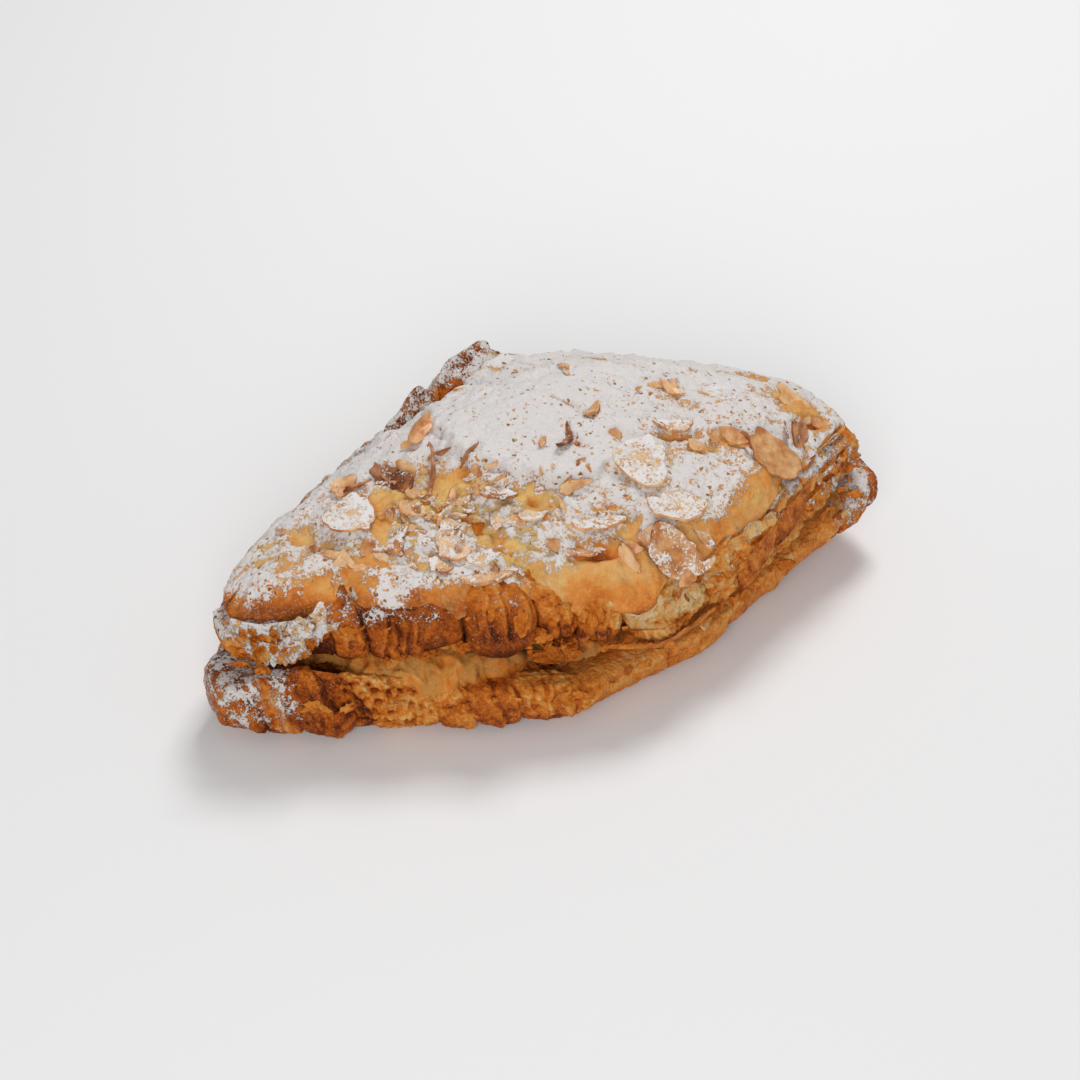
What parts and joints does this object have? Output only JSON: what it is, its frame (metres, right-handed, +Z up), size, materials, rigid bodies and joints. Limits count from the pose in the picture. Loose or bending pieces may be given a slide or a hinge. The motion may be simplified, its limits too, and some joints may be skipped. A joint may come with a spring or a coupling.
{
  "type": "almond croissant",
  "caption": "Split croissant with almond cream between its halves and baked on top, covered in flaked almonds and powdered sugar.",
  "frame": {"origin": "centre of the bounding box in plan, on the surface that the croissant rests on", "axes": "+X from the croissant's left tip to its right tip seen from the front, +Y from its open front to its back, +Z up"},
  "size_m": [0.18, 0.1083, 0.0518],
  "materials": {
    "browned_crust": "baked laminated dough, browned and flaky",
    "baked_filling": "baked almond cream, moist crumb",
    "baked_topping": "baked almond cream, golden, dusted with powdered sugar",
    "sliced_almond": "toasted sliced almond"
  },
  "bodies": {
    "root": {"croissant_base": "browned_crust", "almond_cream_filling": "baked_filling", "croissant_lid": "browned_crust", "almond_cream_topping": "baked_topping", "almond_flake_01": "sliced_almond", "almond_flake_02": "sliced_almond", "almond_flake_03": "sliced_almond", "almond_flake_04": "sliced_almond", "almond_flake_05": "sliced_almond", "almond_flake_06": "sliced_almond", "almond_flake_07": "sliced_almond", "almond_flake_08": "sliced_almond", "almond_flake_09": "sliced_almond", "almond_flake_10": "sliced_almond", "almond_flake_11": "sliced_almond", "almond_flake_12": "sliced_almond", "almond_flake_13": "sliced_almond", "almond_flake_14": "sliced_almond", "almond_flake_15": "sliced_almond", "almond_flake_16": "sliced_almond", "almond_flake_17": "sliced_almond", "almond_flake_18": "sliced_almond", "almond_flake_19": "sliced_almond", "almond_flake_20": "sliced_almond", "almond_flake_21": "sliced_almond", "almond_flake_22": "sliced_almond", "almond_flake_23": "sliced_almond", "almond_flake_24": "sliced_almond", "almond_flake_25": "sliced_almond", "almond_flake_26": "sliced_almond", "almond_flake_27": "sliced_almond"}
  },
  "joints": []
}
